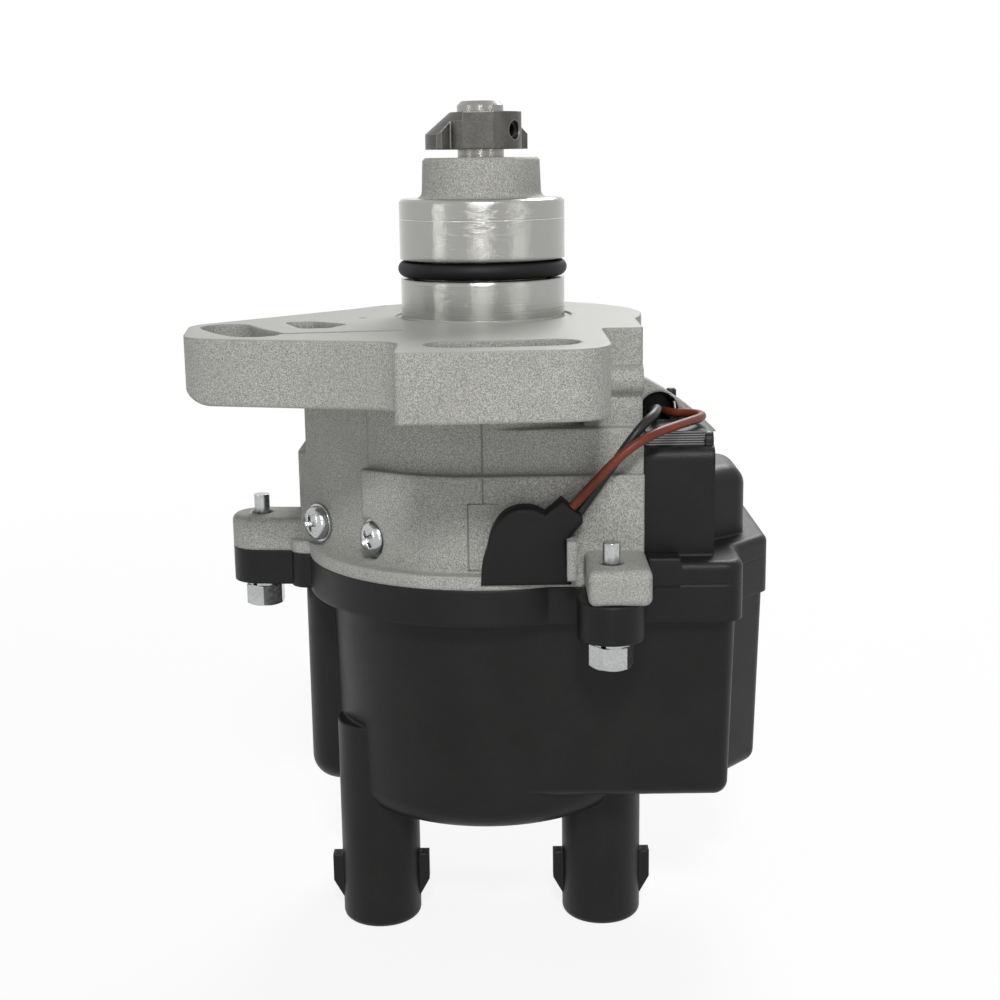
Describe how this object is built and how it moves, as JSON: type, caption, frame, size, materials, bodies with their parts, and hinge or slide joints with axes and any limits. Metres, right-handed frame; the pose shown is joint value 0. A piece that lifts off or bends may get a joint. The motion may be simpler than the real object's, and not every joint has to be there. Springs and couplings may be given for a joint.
{
  "type": "ignition distributor",
  "caption": "Ignition distributor with coil in its cap: cast housing with timing flange and pilot, dog driven shaft, ball bearing, signal rotors, spark rotor and cap towers.",
  "frame": {"origin": "on the shaft's axis, in the timing flange's mounting face", "axes": "+Z along the shaft to the drive coupling, +X to the coil, -Y to the flange's long pad"},
  "size_m": [0.1228, 0.1242, 0.1811],
  "materials": {
    "cast_aluminium": "sandblasted casting, machined lands turned bright",
    "machined_steel": "ground",
    "sintered_steel": "sintered, dull",
    "dark_steel": "oil blackened",
    "bearing_steel": "ground and polished",
    "pressed_steel": "pressed sheet",
    "zinc_plated_steel": "bright zinc",
    "sintered_bronze": "oil soaked",
    "brass": "bright",
    "laminated_iron": "varnished laminations",
    "black_rubber": "moulded",
    "black_plastic": "moulded, fine matt grain",
    "potting_resin": "cast resin",
    "carbon": "pressed carbon",
    "brown_insulation": "silicone rubber sleeve",
    "black_insulation": "silicone rubber sleeve"
  },
  "bodies": {
    "distributor_body": {"housing": "cast_aluminium", "pilot_o_ring": "black_rubber", "shaft_bush": "sintered_bronze", "oil_seal": "black_rubber", "bearing_outer_race": "bearing_steel", "bearing_retainer": "pressed_steel", "retainer_screws": "zinc_plated_steel", "speed_pickup": "black_plastic", "position_pickup": "black_plastic", "pickup_screws": "zinc_plated_steel", "igniter_module": "black_plastic", "igniter_screws": "zinc_plated_steel", "igniter_washers": "zinc_plated_steel", "dust_cover": "black_plastic", "dust_cover_screws": "zinc_plated_steel", "cap_seal": "black_rubber", "distributor_cap": "black_plastic", "cap_bolts": "zinc_plated_steel", "cap_bolt_washers": "zinc_plated_steel", "cap_electrodes": "cast_aluminium", "tower_terminals": "brass", "coil_housing": "black_plastic", "ignition_coil": "potting_resin", "coil_core": "laminated_iron", "coil_screws": "zinc_plated_steel", "connector_pins": "brass", "lead_boot": "black_rubber", "brown_lead": "brown_insulation", "black_lead": "black_insulation", "brush_spring": "bearing_steel"},
    "shaft": {"distributor_shaft": "machined_steel", "drive_coupling": "sintered_steel", "coupling_pin": "dark_steel", "bearing_inner_race": "bearing_steel", "spacer_sleeve": "machined_steel", "speed_rotor": "sintered_steel", "position_rotor": "sintered_steel", "rotor_snap_rings": "dark_steel", "rotor_arm": "black_plastic", "rotor_electrode": "brass", "rotor_screws": "zinc_plated_steel"},
    "cage": {"bearing_balls": "bearing_steel", "bearing_cage": "pressed_steel"},
    "brush": {"carbon_brush": "carbon"}
  },
  "joints": [
    {"name": "shaft_spin", "type": "hinge", "parent": "distributor_body", "child": "shaft", "pos_m": [0, 0, 0], "axis": [0, 0, 1], "continuous": true},
    {"name": "cage_spin", "type": "hinge", "parent": "distributor_body", "child": "cage", "pos_m": [0, 0, -0.0142], "axis": [0, 0, 1], "continuous": true},
    {"name": "brush_slide", "type": "slide", "parent": "distributor_body", "child": "brush", "axis": [0, 0, -1], "range_m": [0, 0.002], "stiffness_N_per_m": 150, "springref_m": -0.004, "deforming": ["brush_spring"]}
  ],
  "couplings": [
    {"joint": "cage_spin", "follows": "shaft_spin", "ratio": 0.40625}
  ]
}
